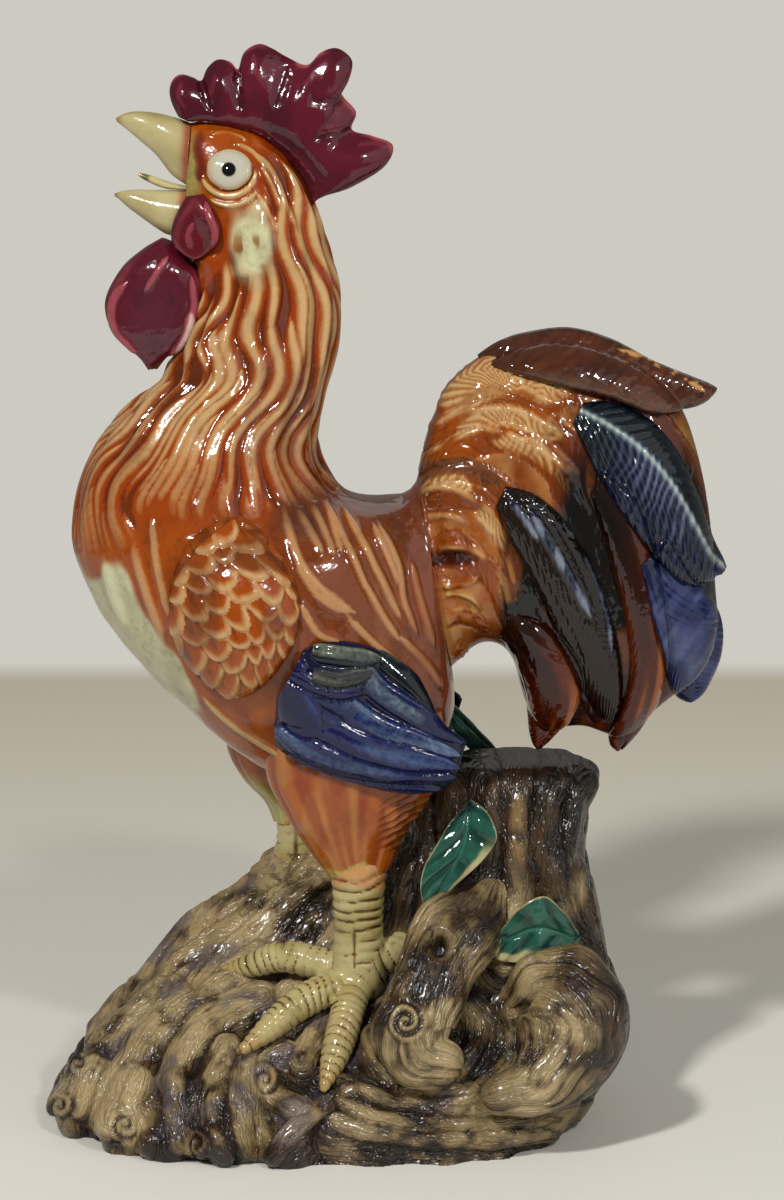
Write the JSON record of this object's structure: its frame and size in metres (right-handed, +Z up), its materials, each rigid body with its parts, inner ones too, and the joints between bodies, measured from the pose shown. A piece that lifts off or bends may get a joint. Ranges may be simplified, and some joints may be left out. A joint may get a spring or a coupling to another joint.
{
  "type": "ceramic rooster figurine",
  "caption": "Free-standing glazed ceramic rooster that crows on a root mound with a tree stump and applied leaves.",
  "frame": {"origin": "middle of the bounding box on the plane of the foot rim", "axes": "+Z up, the rooster faces -X, its left flank is towards -Y"},
  "size_m": [0.204, 0.1224, 0.3202],
  "materials": {
    "bark_glaze": "semi-gloss brown and cream glaze wiped over modelled bark",
    "amber_glaze": "glossy amber glaze, dark in the grooves and cream on the ridges",
    "burgundy_glaze": "glossy burgundy glaze",
    "horn_glaze": "glossy cream and olive glaze",
    "white_glaze": "glossy white glaze with a black pupil",
    "cobalt_glaze": "glossy mottled cobalt glaze",
    "leg_glaze": "glossy cream-yellow glaze with brown in the rings",
    "brown_glaze": "glossy red-brown manganese glaze",
    "leaf_glaze": "glossy green copper glaze with cream edges"
  },
  "bodies": {
    "root": {"root_base": "bark_glaze", "knot_root": "bark_glaze", "right_root": "bark_glaze", "leaf_upper": "leaf_glaze", "leaf_lower": "leaf_glaze", "leaf_rear": "leaf_glaze", "body_shell": "amber_glaze", "comb": "burgundy_glaze", "beak_upper": "horn_glaze", "beak_lower": "horn_glaze", "tongue": "horn_glaze", "eye_left": "white_glaze", "eye_right": "white_glaze", "cheek_lobe_left": "burgundy_glaze", "cheek_lobe_right": "burgundy_glaze", "wattle_left": "burgundy_glaze", "wattle_right": "burgundy_glaze", "wing_coverts_left": "amber_glaze", "wing_coverts_right": "amber_glaze", "wing_flights_left": "cobalt_glaze", "wing_flights_right": "cobalt_glaze", "thigh_left": "amber_glaze", "thigh_right": "amber_glaze", "leg_left": "leg_glaze", "leg_right": "leg_glaze", "tail_core": "amber_glaze", "top_sickle_left": "brown_glaze", "top_sickle_right": "brown_glaze", "upper_sickle_left": "cobalt_glaze", "upper_sickle_right": "cobalt_glaze", "lower_sickle_left": "cobalt_glaze", "lower_sickle_right": "cobalt_glaze", "mid_sickle_left": "cobalt_glaze", "mid_sickle_right": "cobalt_glaze", "front_tip_left": "brown_glaze", "front_tip_right": "brown_glaze", "rear_tip_left": "brown_glaze", "rear_tip_right": "brown_glaze"}
  },
  "joints": []
}
